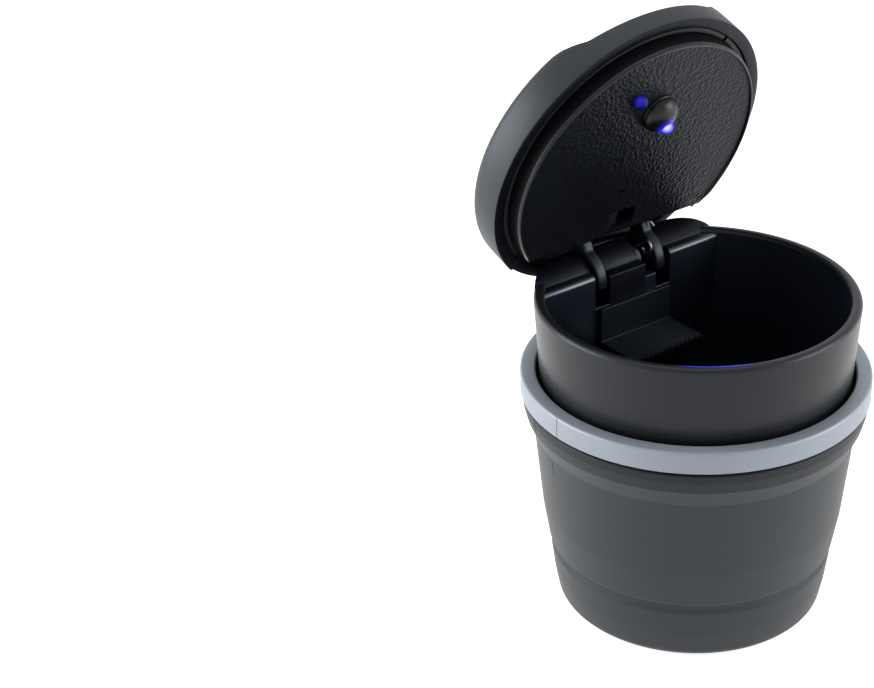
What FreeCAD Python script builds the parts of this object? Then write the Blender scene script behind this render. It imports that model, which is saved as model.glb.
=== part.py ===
import FreeCAD, Part
import math
import os
from types import SimpleNamespace

import Sketcher

# A round car ashtray for a cup holder, with its sprung lid standing open.
# The origin is the middle of the base, +Z is up, the hinge is at +Y and the finger scoop at -Y.
# The lid and all that it carries are drawn shut and then turned open about the hinge pin.

# Driving dimensions in millimetres and degrees; insets, drops, rises and gaps are taken from a neighbour
sizes = {
    # silver ring
    "ring_radius": 40.0,
    "ring_width": 3.6,
    "ring_top": 59.6,
    "ring_height": 5.2,
    "ring_cap": 2.0,
    "ring_wall": 1.5,
    # outer sleeve, from the collar under the ring down to the base
    "collar_inset": 1.3,
    "collar_height": 5.5,
    "shoulder_rise": 3.3,
    "shoulder_inset": 1.7,
    "bulge_inset": 3.1,
    "crease_height": 12.4,
    "crease_rise": 2.2,
    "crease_inset": 1.2,
    "base_inset": 1.4,
    "base_round": 2.5,
    "sleeve_floor": 2.0,
    "sleeve_foot_wall": 1.1,
    # ash cup
    "cup_ring_gap": 1.0,
    "cup_foot_gap": 0.8,
    "cup_waist_drop": 3.6,
    "cup_rise": 18.4,
    "cup_wall": 2.0,
    "cup_floor": 2.0,
    "rim_flare": 1.4,
    "rim_lip": 2.6,
    # hinge housing of the cup
    "pin_inset": 7.1,
    "pin_drop": 4.3,
    "pin_radius": 1.2,
    "pin_seat": 4.5,
    "housing_depth": 25.0,
    "housing_inset": 2.3,
    "housing_reach": 7.8,
    "housing_wall": 1.3,
    "ledge_drop": 1.0,
    "barrel_radius": 6.0,
    "block_ledge_drop": 1.2,
    "block_barrel_inset": 0.5,
    "slot_depth": 5.0,
    "slot_room": 1.2,
    # torsion spring
    "spring_wire": 0.7,
    "spring_pin_gap": 1.15,
    "spring_turns": 2.5,
    "spring_leg": 5.0,
    "spring_room_width": 3.2,
    "spring_room_gap": 0.95,
    "spring_sill_drop": 1.2,
    # snuffer shelf
    "shelf_drop": 9.7,
    "shelf_reach": 13.9,
    "shelf_side_gap": 0.8,
    "shelf_thickness": 1.2,
    "shelf_teeth": 14,
    "shelf_tooth_depth": 0.9,
    # lid shell
    "lid_overhang": 0.6,
    "lid_height": 9.75,
    "lid_top_wall": 6.5,
    "lid_edge_round": 2.8,
    "skirt_wall": 2.8,
    "lid_rim_gap": 0.35,
    "back_cut_reach": 4.5,
    "back_cut_rise": 2.55,
    "relief_rise": 1.2,
    "relief_half_width": 9.0,
    "lid_open_angle": 70.0,
    "scoop_length": 24.4,
    "scoop_drop": 4.9,
    "scoop_near_half": 15.0,
    "scoop_floor_half": 17.4,
    "scoop_mouth_half": 29.3,
    # lid liner
    "plug_gap": 1.1,
    "plug_reach": 3.1,
    "plug_floor": 1.6,
    "plug_wall": 1.6,
    "plug_back_gap": 1.3,
    "bead_width": 1.4,
    "bead_height": 0.6,
    "arm_inner": 7.5,
    "arm_width": 2.6,
    "arm_reach": 7.5,
    "arm_hub_radius": 3.4,
    "arm_neck_rise": 5.8,
    "arm_tail_angle": 77.0,
    "arm_side_gap": 0.3,
    "arm_room": 0.4,
    "tab_hole_width": 8.0,
    "tab_hole_length": 5.8,
    "tab_hole_inset": 1.7,
    # lid seal
    "seal_rise": 0.65,
    "seal_height": 1.6,
    "seal_split_place": 20.8,
    "seal_split_width": 1.2,
    # lid trim and thumb handle
    "trim_thickness": 1.2,
    "trim_back": 31.5,
    "trim_back_inner": 24.5,
    "trim_back_half": 13.5,
    "trim_waist_half": 19.8,
    "trim_corner_half": 22.0,
    "trim_corner_front": 18.5,
    "trim_tip_half": 17.4,
    "trim_tip_front": 22.5,
    "trim_inner_half": 16.2,
    "handle_half_width": 13.4,
    "handle_back": 20.5,
    "handle_back_rise": 2.0,
    "handle_crest": 6.0,
    "handle_crest_rise": 5.6,
    "handle_front": 18.0,
    "handle_front_rise": 4.0,
    "handle_lip": 2.2,
    "handle_foot": 12.5,
    "handle_corner_round": 5.0,
    # light
    "hood_side": 2.2,
    "hood_depth": 14.6,
    "hood_radius": 4.6,
    "hood_rise": 3.0,
    "led_radius": 1.5,
    "led_flange_width": 0.4,
    "led_flange": 1.0,
    "led_proud": 0.6,
    "led_near_side": 6.1,
    "led_near_depth": 9.0,
    "led_far_side": -5.6,
    "led_far_depth": 19.6,
    "board_length": 24.0,
    "board_width": 17.0,
    "board_thickness": 1.2,
    "board_middle": 15.0,
    "cell_radius": 10.0,
    "cell_height": 3.2,
    "cell_middle": 4.0,
    # clearances
    "seat_gap": 0.05,
    "fit_gap": 0.1,
    "pin_gap": 0.04,
    "bore_gap": 0.06,
}


class Size:
    # A number together with the sheet expression that gives it

    def __init__(self, value, text):
        self.value = float(value)
        self.text = text

    def joined(self, sign, other, value):
        return Size(value, f"({self.text} {sign} {text_of(other)})")

    def __add__(self, other):
        return self.joined("+", other, self.value + number(other))

    def __sub__(self, other):
        return self.joined("-", other, self.value - number(other))

    def __mul__(self, other):
        return self.joined("*", other, self.value * number(other))

    def __truediv__(self, other):
        return self.joined("/", other, self.value / number(other))

    def __neg__(self):
        return Size(-self.value, f"(-1 * {self.text})")


def number(amount):
    return amount.value if isinstance(amount, Size) else float(amount)


def text_of(amount):
    return amount.text if isinstance(amount, Size) else str(amount)


def half_chord(radius, depth):
    value = math.sqrt(number(radius) ** 2 - number(depth) ** 2)
    return Size(value, f"sqrt({text_of(radius)}^2 - {text_of(depth)}^2)")


doc = FreeCAD.newDocument("car_ashtray")
sheet = doc.addObject("Spreadsheet::Sheet", "Sizes")
for row, (name, amount) in enumerate(sizes.items(), start=1):
    sheet.set(f"A{row}", name)
    sheet.set(f"B{row}", str(amount))
    sheet.setAlias(f"B{row}", name)
doc.recompute()
s = SimpleNamespace(**{name: Size(amount, "Sizes." + name) for name, amount in sizes.items()})

# Radii that follow from the ring, outside to inside
s.ring_inner_radius = s.ring_radius - s.ring_width
s.ring_bore = s.ring_radius - s.ring_wall
s.collar_radius = s.ring_radius - s.collar_inset
s.sleeve_wall_radius = s.collar_radius - s.shoulder_inset
s.bulge_radius = s.sleeve_wall_radius - s.bulge_inset
s.band_radius = s.bulge_radius - s.crease_inset
s.base_radius = s.band_radius - s.base_inset
s.sleeve_well_radius = s.base_radius - s.sleeve_foot_wall
s.cup_waist_radius = s.ring_inner_radius - s.cup_ring_gap
s.cup_foot_radius = s.sleeve_well_radius - s.cup_foot_gap
s.rim_radius = s.cup_waist_radius + s.rim_flare
s.mouth_radius = s.rim_radius - s.rim_lip
s.lid_radius = s.rim_radius + s.lid_overhang
s.skirt_inner_radius = s.lid_radius - s.skirt_wall
s.plug_radius = s.mouth_radius - s.plug_gap

# Heights that follow from the ring's top
s.ring_bottom = s.ring_top - s.ring_height
s.shoulder_high = s.ring_bottom - s.collar_height
s.shoulder_low = s.shoulder_high - s.shoulder_rise
s.bulge_height = s.crease_height + s.crease_rise
s.cup_bottom = s.sleeve_floor + s.seat_gap
s.cup_waist_height = s.ring_top - s.cup_waist_drop
s.rim_height = s.ring_top + s.cup_rise
s.ledge_height = s.rim_height - s.ledge_drop
s.lid_bottom = s.rim_height + s.lid_rim_gap
s.lid_top = s.lid_bottom + s.lid_height
s.lid_ceiling = s.lid_top - s.lid_top_wall
s.liner_top = s.lid_ceiling - s.fit_gap
s.trim_base = s.lid_top + s.seat_gap
s.plug_bottom = s.lid_bottom - s.plug_reach
s.plug_floor_top = s.plug_bottom + s.plug_floor

# The hinge: the pin hangs from the rim, and housing, slots and arms are set out from the pin
s.pin_depth = s.rim_radius - s.pin_inset
s.pin_height = s.rim_height - s.pin_drop
s.housing_radius = s.rim_radius - s.housing_inset
s.housing_front = s.pin_depth - s.housing_reach
s.housing_bottom = s.ledge_height - s.housing_depth
s.block_ledge_height = s.ledge_height - s.block_ledge_drop
s.block_barrel_radius = s.barrel_radius - s.block_barrel_inset
s.block_half_width = s.arm_inner - s.arm_side_gap
s.arm_outer = s.arm_inner + s.arm_width
s.slot_half_width = s.arm_outer + s.slot_room
s.slot_bottom = s.pin_height - s.slot_depth
s.chamber_half_width = s.arm_outer + s.arm_room
s.chamber_front = s.housing_front + s.housing_wall
s.chamber_bottom = s.pin_height - s.arm_reach - s.arm_room
s.chamber_back = s.pin_depth + s.arm_hub_radius + s.arm_room
s.pin_half_length = s.chamber_half_width + s.pin_seat
s.coil_radius = s.pin_radius + s.spring_pin_gap + s.spring_wire / 2
s.spring_room_radius = s.coil_radius + s.spring_wire / 2 + s.spring_room_gap
s.plug_back = s.housing_front - s.plug_back_gap
s.lid_back_cut = s.pin_depth - s.back_cut_reach
s.back_cut_height = s.lid_bottom + s.back_cut_rise
margin = 12.0  # how far a cutting shape runs past what it cuts
wire_sides = 6  # the spring's round wire is drawn with this many flats

hinge_point = FreeCAD.Vector(0, s.pin_depth.value, s.pin_height.value)
x_axis = FreeCAD.Vector(1, 0, 0)
y_axis = FreeCAD.Vector(0, 1, 0)
fixed = FreeCAD.Placement()
lid_open = FreeCAD.Placement(FreeCAD.Vector(), FreeCAD.Rotation(x_axis, -s.lid_open_angle.value), hinge_point)
nodes = []


# Helpers for bodies and sketches

def new_body(label, placement=fixed):
    body = doc.addObject("PartDesign::Body", label)
    body.Label = label
    body.Placement = placement
    nodes.append(body)
    return body


def new_sketch(body, plane, height=0.0):
    sketch = body.newObject("Sketcher::SketchObject", "Outline")
    support = next(item for item in body.Origin.OriginFeatures if item.Role == plane)
    sketch.AttachmentSupport = [(support, "")]
    sketch.MapMode = "FlatFace"
    sketch.AttachmentOffset = FreeCAD.Placement(FreeCAD.Vector(0, 0, number(height)), FreeCAD.Rotation())
    if isinstance(height, Size):
        sketch.setExpression("AttachmentOffset.Base.z", height.text)
    return sketch


def hold(sketch, kind, amount, *where):
    index = sketch.addConstraint(Sketcher.Constraint(kind, *where, number(amount)))
    if isinstance(amount, Size):
        sketch.setExpression(f"Constraints[{index}]", amount.text)


def hold_point(sketch, line, end, place):
    for kind, axis, amount in (("DistanceX", -2, place[0]), ("DistanceY", -1, place[1])):
        if not isinstance(amount, Size) and amount == 0:
            sketch.addConstraint(Sketcher.Constraint("PointOnObject", line, end, axis))
        else:
            hold(sketch, kind, amount, -1, 1, line, end)


def arc_between(start, end, centre, radius):
    # The shorter arc from start to end, with the numbers of its ends
    angles = [math.atan2(point.y - centre.y, point.x - centre.x) for point in (start, end)]
    turn = (angles[1] - angles[0]) % (2 * math.pi)
    forward = turn < math.pi
    first, last = angles if forward else reversed(angles)
    circle = Part.Circle(centre, FreeCAD.Vector(0, 0, 1), radius)
    return Part.ArcOfCircle(circle, first, last), (1, 2) if forward else (2, 1)


def draw_outline(sketch, corners):
    # Closed outline; a corner with a third item starts an arc with that radius and centre
    places = [FreeCAD.Vector(number(corner[0]), number(corner[1]), 0) for corner in corners]
    ends = []
    for index, corner in enumerate(corners):
        start = places[index]
        end = places[(index + 1) % len(corners)]
        if len(corner) == 3:
            radius, centre = corner[2]
            middle = FreeCAD.Vector(number(centre[0]), number(centre[1]), 0)
            curve, order = arc_between(start, end, middle, number(radius))
        else:
            curve, order = Part.LineSegment(start, end), (1, 2)
        ends.append((sketch.addGeometry(curve), *order))
    for index, corner in enumerate(corners):
        line, first, last = ends[index]
        following, next_first, _ = ends[(index + 1) % len(corners)]
        sketch.addConstraint(Sketcher.Constraint("Coincident", line, last, following, next_first))
        hold_point(sketch, line, first, corner)
        if len(corner) == 3:
            hold(sketch, "Radius", corner[2][0], line)


def draw_circle(sketch, centre, radius):
    middle = FreeCAD.Vector(number(centre[0]), number(centre[1]), 0)
    line = sketch.addGeometry(Part.Circle(middle, FreeCAD.Vector(0, 0, 1), number(radius)))
    hold_point(sketch, line, 3, centre)
    hold(sketch, "Radius", radius, line)


def box_corners(low_x, high_x, low_y, high_y):
    return [(low_x, low_y), (high_x, low_y), (high_x, high_y), (low_x, high_y)]


def bind(item, prop, amount):
    setattr(item, prop, number(amount))
    if isinstance(amount, Size):
        item.setExpression(prop, amount.text)


def revolve(body, corners, kind="PartDesign::Revolution"):
    sketch = new_sketch(body, "XZ_Plane")
    draw_outline(sketch, corners)
    feature = body.newObject(kind, "Turned")
    feature.Profile = sketch
    feature.ReferenceAxis = (sketch, ["V_Axis"])
    feature.Angle = 360
    doc.recompute()
    return feature


def extrude(body, kind, sketch, length, symmetric=False, backwards=False):
    feature = body.newObject(kind, "Extruded")
    feature.Profile = sketch
    bind(feature, "Length", length)
    if symmetric:
        feature.SideType = "Symmetric"
    feature.Reversed = backwards
    doc.recompute()
    return feature


def pad(body, sketch, length, **options):
    return extrude(body, "PartDesign::Pad", sketch, length, **options)


def pocket(body, sketch, length, **options):
    before = body.Shape.Volume
    feature = extrude(body, "PartDesign::Pocket", sketch, length, **options)
    if body.Shape.Volume > before - 1e-6:
        raise RuntimeError(f"{body.Label}: {feature.Name} removed nothing")
    return feature


def round_edges(body, radius, chosen):
    tip = body.Tip
    edges = [f"Edge{place}" for place, edge in enumerate(tip.Shape.Edges, start=1) if chosen(edge)]
    if not edges:
        raise RuntimeError(f"{body.Label}: no edge to round")
    feature = body.newObject("PartDesign::Fillet", "Rounded")
    feature.Base = (tip, edges)
    bind(feature, "Radius", radius)
    doc.recompute()


def circle_at(radius, height):
    def chosen(edge):
        if not isinstance(edge.Curve, Part.Circle):
            return False
        near_radius = abs(edge.Curve.Radius - number(radius)) < 0.01
        return near_radius and abs(edge.Curve.Center.z - number(height)) < 0.01
    return chosen


# Outer sleeve that drops into the cup holder

def outer_sleeve():
    neck_radius = s.ring_bore - s.fit_gap
    neck_top = s.ring_top - s.ring_cap - s.fit_gap
    collar_top = s.ring_bottom - s.seat_gap
    body = new_body("outer_sleeve")
    revolve(body, [
        (0, 0),
        (s.base_radius, 0),
        (s.band_radius, s.crease_height),
        (s.bulge_radius, s.bulge_height),
        (s.sleeve_wall_radius, s.shoulder_low),
        (s.collar_radius, s.shoulder_high),
        (s.collar_radius, collar_top),
        (neck_radius, collar_top),
        (neck_radius, neck_top),
        (s.ring_inner_radius, neck_top),
        (s.sleeve_well_radius, s.sleeve_floor),
        (0, s.sleeve_floor),
    ])
    round_edges(body, s.base_round, circle_at(s.base_radius, 0))


# Silver ring that caps the sleeve

def silver_ring():
    body = new_body("silver_ring")
    cap_under = s.ring_top - s.ring_cap
    revolve(body, [
        (s.ring_inner_radius, s.ring_top),
        (s.ring_radius, s.ring_top),
        (s.ring_radius, s.ring_bottom),
        (s.ring_bore, s.ring_bottom),
        (s.ring_bore, cap_under),
        (s.ring_inner_radius, cap_under),
    ])


# Ash cup with the hinge housing moulded into its back

def ash_cup():
    body = new_body("ash_cup")
    floor_top = s.cup_bottom + s.cup_floor
    revolve(body, [
        (0, s.cup_bottom),
        (s.cup_foot_radius, s.cup_bottom),
        (s.cup_waist_radius, s.cup_waist_height),
        (s.rim_radius, s.rim_height),
        (s.mouth_radius, s.rim_height),
        (s.cup_waist_radius - s.cup_wall, s.cup_waist_height),
        (s.cup_foot_radius - s.cup_wall, floor_top),
        (0, floor_top),
    ])
    add_housing(body)
    cut_arm_slots(body)
    add_hinge_block(body)


def add_housing(body):
    reach = half_chord(s.housing_radius, s.housing_front)
    segment = new_sketch(body, "XY_Plane", s.housing_bottom)
    draw_outline(segment, [
        (reach, s.housing_front, (s.housing_radius, (0, 0))),
        (-reach, s.housing_front),
    ])
    pad(body, segment, s.ledge_height - s.housing_bottom)
    barrel = new_sketch(body, "YZ_Plane")
    draw_circle(barrel, (s.pin_depth, s.pin_height), s.barrel_radius)
    barrel_reach = half_chord(s.rim_radius, s.pin_depth - s.barrel_radius)
    pad(body, barrel, barrel_reach * 2, symmetric=True)
    revolve(body, [
        (s.cup_waist_radius, s.cup_waist_height),
        (s.rim_radius, s.rim_height),
        (s.rim_radius, s.lid_top),
        (s.rim_radius + margin, s.lid_top),
        (s.rim_radius + margin, s.cup_waist_height),
    ], "PartDesign::Groove")


def cut_arm_slots(body):
    slots = new_sketch(body, "YZ_Plane")
    draw_outline(slots, box_corners(s.plug_back, s.chamber_front, s.slot_bottom, s.lid_top))
    pocket(body, slots, s.slot_half_width * 2, symmetric=True)
    chamber = new_sketch(body, "YZ_Plane")
    draw_outline(chamber, box_corners(s.chamber_front, s.chamber_back, s.chamber_bottom, s.lid_top))
    pocket(body, chamber, s.chamber_half_width * 2, symmetric=True)


def add_hinge_block(body):
    ledge_rise = s.block_ledge_height - s.pin_height
    ledge_reach = half_chord(s.block_barrel_radius, ledge_rise)
    centre = (s.pin_depth, s.pin_height)
    block = new_sketch(body, "YZ_Plane")
    draw_outline(block, [
        (s.housing_front, s.housing_bottom),
        (s.housing_front, s.block_ledge_height),
        (s.pin_depth - ledge_reach, s.block_ledge_height, (s.block_barrel_radius, centre)),
        (s.pin_depth, s.pin_height + s.block_barrel_radius, (s.block_barrel_radius, centre)),
        (s.chamber_back, s.pin_height + half_chord(s.block_barrel_radius, s.chamber_back - s.pin_depth)),
        (s.chamber_back, s.housing_bottom),
    ])
    pad(body, block, s.block_half_width * 2, symmetric=True)
    room = new_sketch(body, "YZ_Plane", s.block_half_width)
    draw_circle(room, centre, s.spring_room_radius)
    pocket(body, room, s.spring_room_width)
    way_out = new_sketch(body, "YZ_Plane", s.block_half_width)
    room_back = s.pin_depth + s.spring_room_radius
    sill = s.pin_height - s.spring_sill_drop
    draw_outline(way_out, box_corners(s.plug_back, room_back, sill, s.lid_top))
    pocket(body, way_out, s.spring_room_width)
    hole = new_sketch(body, "YZ_Plane")
    draw_circle(hole, centre, s.pin_radius + s.pin_gap)
    pocket(body, hole, (s.pin_half_length + s.fit_gap) * 2, symmetric=True)


# Toothed shelf on the housing's front, where a cigarette is put out

def snuffer_shelf():
    body = new_body("snuffer_shelf")
    back = s.housing_front - s.seat_gap
    half = s.slot_half_width - s.shelf_side_gap
    shelf_height = s.slot_bottom - s.shelf_drop
    tooth_tip = s.housing_front - s.shelf_reach
    tooth_root = tooth_tip + s.shelf_tooth_depth
    plate = new_sketch(body, "XY_Plane", shelf_height)
    draw_outline(plate, box_corners(-half, half, back - s.shelf_thickness, back))
    pad(body, plate, s.shelf_drop - s.fit_gap)
    pitch = half * 2 / s.shelf_teeth
    edge = [(half, back), (-half, back)]
    for tooth in range(int(s.shelf_teeth.value)):
        left = pitch * tooth - half
        edge.append((left, tooth_root))
        edge.append((left + pitch / 2, tooth_tip))
    edge.append((half, tooth_root))
    shelf = new_sketch(body, "XY_Plane", shelf_height)
    draw_outline(shelf, edge)
    pad(body, shelf, s.shelf_thickness)


# Hinge pin and the torsion spring on it

def hinge_pin():
    pin = doc.addObject("Part::Cylinder", "hinge_pin")
    pin.Label = "hinge_pin"
    bind(pin, "Radius", s.pin_radius)
    bind(pin, "Height", s.pin_half_length * 2)
    start = FreeCAD.Vector(-s.pin_half_length.value, s.pin_depth.value, s.pin_height.value)
    pin.Placement = FreeCAD.Placement(start, FreeCAD.Rotation(y_axis, 90))
    nodes.append(pin)


def torsion_spring():
    # A coil of wire; one leg runs forward out of the room to press on the lid, the other stops in the room
    wire_radius = s.spring_wire.value / 2
    coil_radius = s.coil_radius.value
    room = s.spring_room_width.value - s.spring_wire.value - 4 * s.fit_gap.value
    helix = Part.makeHelix(room / s.spring_turns.value, room, coil_radius)
    start = FreeCAD.Vector(coil_radius, 0, 0)
    end = helix.Vertexes[-1].Point
    outward = FreeCAD.Vector(end.x, end.y, 0).normalize()
    onward = FreeCAD.Vector(-outward.y, outward.x, 0)
    path = Part.Wire([*helix.Edges, Part.makeLine(end, end + onward * s.spring_leg.value)])
    corners = [2 * math.pi * corner / wire_sides for corner in range(wire_sides + 1)]
    section = [start + FreeCAD.Vector(math.cos(turn), 0, math.sin(turn)) * wire_radius for turn in corners]
    spring = doc.addObject("Part::Feature", "torsion_spring")
    spring.Label = "torsion_spring"
    spring.Shape = path.makePipeShell([Part.makePolygon(section)], True, True)
    first_turn = s.block_half_width.value - s.spring_room_width.value + 2 * s.fit_gap.value + wire_radius
    place = FreeCAD.Vector(first_turn, s.pin_depth.value, s.pin_height.value)
    spring.Placement = FreeCAD.Placement(place, FreeCAD.Rotation(y_axis, 90))
    nodes.append(spring)


# Lid shell with its finger scoop

def lid_shell():
    body = new_body("lid_shell", lid_open)
    revolve(body, [
        (0, s.lid_top),
        (s.lid_radius, s.lid_top),
        (s.lid_radius, s.lid_bottom),
        (s.skirt_inner_radius, s.lid_bottom),
        (s.skirt_inner_radius, s.lid_ceiling),
        (0, s.lid_ceiling),
    ])
    round_edges(body, s.lid_edge_round, circle_at(s.lid_radius, s.lid_top))
    back = new_sketch(body, "YZ_Plane")
    draw_outline(back, box_corners(s.lid_back_cut, s.lid_radius + margin, s.plug_bottom, s.back_cut_height))
    pocket(body, back, s.lid_radius * 2 + margin, symmetric=True)
    # room over the cup's back rim, whose corner passes close under the ceiling as the lid turns
    relief = new_sketch(body, "YZ_Plane")
    relief_back = s.pin_depth + s.arm_hub_radius
    draw_outline(relief, box_corners(s.lid_back_cut, relief_back, s.back_cut_height, s.lid_ceiling + s.relief_rise))
    pocket(body, relief, s.relief_half_width * 2, symmetric=True)
    near = scoop_section(body, s.lid_radius - s.scoop_length, s.scoop_near_half, s.scoop_near_half, s.fit_gap)
    mouth = scoop_section(body, s.lid_radius + s.fit_gap, s.scoop_floor_half, s.scoop_mouth_half, s.scoop_drop)
    scoop = body.newObject("PartDesign::SubtractiveLoft", "Scoop")
    scoop.Profile = near
    scoop.Sections = [mouth]
    scoop.Ruled = True
    doc.recompute()


def scoop_section(body, front, floor_half, top_half, drop):
    section = new_sketch(body, "XZ_Plane", front)
    draw_outline(section, [
        (-floor_half, s.lid_top - drop),
        (floor_half, s.lid_top - drop),
        (top_half, s.lid_top + s.fit_gap),
        (-top_half, s.lid_top + s.fit_gap),
    ])
    return section


# Liner: the grained plug under the lid, with the two hinge arms

def lid_liner():
    body = new_body("lid_liner", lid_open)
    bead_bottom = s.plug_bottom - s.bead_height
    bead_inner = s.plug_radius - s.bead_width
    revolve(body, [
        (0, s.plug_bottom),
        (bead_inner, s.plug_bottom),
        (bead_inner, bead_bottom),
        (s.plug_radius, bead_bottom),
        (s.plug_radius, s.liner_top),
        (s.plug_radius - s.plug_wall, s.liner_top),
        (s.plug_radius - s.plug_wall, s.plug_floor_top),
        (0, s.plug_floor_top),
    ])
    back = new_sketch(body, "YZ_Plane")
    draw_outline(back, box_corners(s.plug_back, s.lid_radius + margin, s.plug_bottom - margin, s.lid_top))
    pocket(body, back, s.lid_radius * 2 + margin, symmetric=True)
    reach = half_chord(s.plug_radius, s.plug_back)
    wall = new_sketch(body, "XY_Plane", s.plug_bottom)
    draw_outline(wall, box_corners(-reach, reach, s.plug_back - s.plug_wall, s.plug_back))
    pad(body, wall, s.liner_top - s.plug_bottom)
    add_arms(body)
    tab_hole = new_sketch(body, "XY_Plane", s.plug_bottom)
    half = s.tab_hole_width / 2
    hole_back = s.plug_back - s.tab_hole_inset
    draw_outline(tab_hole, box_corners(-half, half, hole_back - s.tab_hole_length, hole_back))
    pocket(body, tab_hole, s.plug_floor * 2, backwards=True)
    for side, depth in led_places():
        hole = new_sketch(body, "XY_Plane", s.plug_bottom)
        draw_circle(hole, (side, depth), s.led_radius + s.fit_gap)
        pocket(body, hole, s.plug_floor * 2, backwards=True)


def add_arms(body):
    centre = (s.pin_depth, s.pin_height)
    tail = math.radians(s.arm_tail_angle.value)
    tail_depth = s.arm_reach * Size(math.cos(tail), f"cos({s.arm_tail_angle.text} * 1deg)")
    tail_drop = s.arm_reach * Size(math.sin(tail), f"sin({s.arm_tail_angle.text} * 1deg)")
    inside = s.plug_back - s.plug_wall
    arms = new_sketch(body, "YZ_Plane")
    draw_outline(arms, [
        (inside, s.plug_bottom),
        (inside, s.pin_height + s.arm_neck_rise),
        (s.pin_depth, s.pin_height + s.arm_hub_radius, (s.arm_hub_radius, centre)),
        (s.pin_depth + s.arm_hub_radius, s.pin_height, (s.arm_hub_radius, centre)),
        (s.pin_depth, s.pin_height - s.arm_hub_radius),
        (s.pin_depth - tail_depth, s.pin_height - tail_drop, (s.arm_reach, centre)),
        (s.pin_depth - s.arm_reach, s.pin_height),
        (s.plug_back, s.plug_bottom),
    ])
    pad(body, arms, s.arm_outer * 2, symmetric=True)
    middle = new_sketch(body, "YZ_Plane")
    draw_outline(middle, box_corners(s.plug_back, s.lid_radius, s.plug_bottom - margin, s.lid_top))
    pocket(body, middle, s.arm_inner * 2, symmetric=True)
    bore = new_sketch(body, "YZ_Plane")
    draw_circle(bore, centre, s.pin_radius + s.bore_gap)
    pocket(body, bore, s.lid_radius * 2, symmetric=True)


def led_places():
    return [(s.led_near_side, -s.led_near_depth), (s.led_far_side, -s.led_far_depth)]


# Rubber strip round the plug, split where its ends meet

def lid_seal():
    body = new_body("lid_seal", lid_open)
    inner = s.plug_radius + s.fit_gap
    outer = s.skirt_inner_radius - s.fit_gap
    seal_bottom = s.lid_bottom + s.seal_rise
    seal_top = seal_bottom + s.seal_height
    revolve(body, [(inner, seal_bottom), (outer, seal_bottom), (outer, seal_top), (inner, seal_top)])
    back = new_sketch(body, "YZ_Plane")
    draw_outline(back, box_corners(s.plug_back, s.lid_radius, s.plug_bottom, s.lid_top))
    pocket(body, back, s.lid_radius * 2, symmetric=True)
    split = new_sketch(body, "XY_Plane", seal_top)
    split_end = s.seal_split_place + s.seal_split_width
    draw_outline(split, box_corners(s.seal_split_place, split_end, -s.lid_radius, 0))
    pocket(body, split, s.seal_height / 2)


# Silver trim round the handle, open to the front

def lid_trim():
    body = new_body("lid_trim", lid_open)
    left_side = [
        (-s.trim_back_half, s.trim_back),
        (-s.trim_waist_half, 0),
        (-s.trim_corner_half, -s.trim_corner_front),
        (-s.trim_tip_half, -s.trim_tip_front),
        (-s.trim_inner_half, 0),
        (-s.handle_half_width, s.trim_back_inner),
    ]
    right_side = [(-x, y) for x, y in reversed(left_side)]
    outline = new_sketch(body, "XY_Plane", s.trim_base)
    draw_outline(outline, left_side + right_side)
    pad(body, outline, s.trim_thickness)


# Raised handle, lifted with a finger from the scoop

def thumb_handle():
    body = new_body("thumb_handle", lid_open)
    lip_rise = s.handle_front_rise - s.handle_lip
    side = new_sketch(body, "YZ_Plane")
    draw_outline(side, [
        (s.handle_back, s.trim_base),
        (s.handle_back - s.handle_back_rise, s.trim_base + s.handle_back_rise),
        (-s.handle_crest, s.trim_base + s.handle_crest_rise),
        (-s.handle_front, s.trim_base + s.handle_front_rise),
        (-s.handle_front, s.trim_base + lip_rise),
        (-s.handle_foot, s.trim_base),
    ])
    pad(body, side, s.handle_half_width * 2, symmetric=True)

    def front_corner(edge):
        ends = [vertex.Point for vertex in edge.Vertexes]
        return all(abs(end.y + s.handle_front.value) < 0.01 for end in ends) and abs(ends[0].z - ends[-1].z) > 0.01

    round_edges(body, s.handle_corner_round, front_corner)


# Light under the lid: hood, two bulbs, board and cell

def led_hood():
    rise, radius = s.hood_rise.value, s.hood_radius.value
    ball = (radius ** 2 + rise ** 2) / (2 * rise)
    ball_text = f"(({s.hood_radius.text}^2 + {s.hood_rise.text}^2) / (2 * {s.hood_rise.text}))"
    ball_size = Size(ball, ball_text)
    hood = doc.addObject("Part::Sphere", "led_hood")
    hood.Label = "led_hood"
    bind(hood, "Radius", ball_size)
    hood.Angle1 = -90
    hood.setExpression("Angle2", f"asin(({s.hood_rise.text} - {ball_text}) / {ball_text})")
    base = s.plug_bottom.value - s.seat_gap.value
    middle = FreeCAD.Vector(s.hood_side.value, -s.hood_depth.value, base + ball - rise)
    hood.Placement = lid_open.multiply(FreeCAD.Placement(middle, FreeCAD.Rotation()))
    nodes.append(hood)


def led_bulb(label, place):
    middle = FreeCAD.Vector(number(place[0]), number(place[1]), 0)
    body = new_body(label, lid_open.multiply(FreeCAD.Placement(middle, FreeCAD.Rotation())))
    flange_base = s.plug_floor_top + s.seat_gap
    dome_base = s.plug_bottom - s.led_proud
    flange_radius = s.led_radius + s.led_flange_width
    revolve(body, [
        (0, flange_base + s.led_flange),
        (flange_radius, flange_base + s.led_flange),
        (flange_radius, flange_base),
        (s.led_radius, flange_base),
        (s.led_radius, dome_base, (s.led_radius, (0, dome_base))),
        (0, dome_base - s.led_radius),
    ])


def circuit_board():
    board = doc.addObject("Part::Box", "circuit_board")
    board.Label = "circuit_board"
    bind(board, "Length", s.board_length)
    bind(board, "Width", s.board_width)
    bind(board, "Height", s.board_thickness)
    base = s.plug_floor_top + s.seat_gap + s.led_flange + s.seat_gap
    corner = FreeCAD.Vector(-s.board_length.value / 2, -s.board_middle.value - s.board_width.value / 2, base.value)
    board.Placement = lid_open.multiply(FreeCAD.Placement(corner, FreeCAD.Rotation()))
    nodes.append(board)


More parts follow.
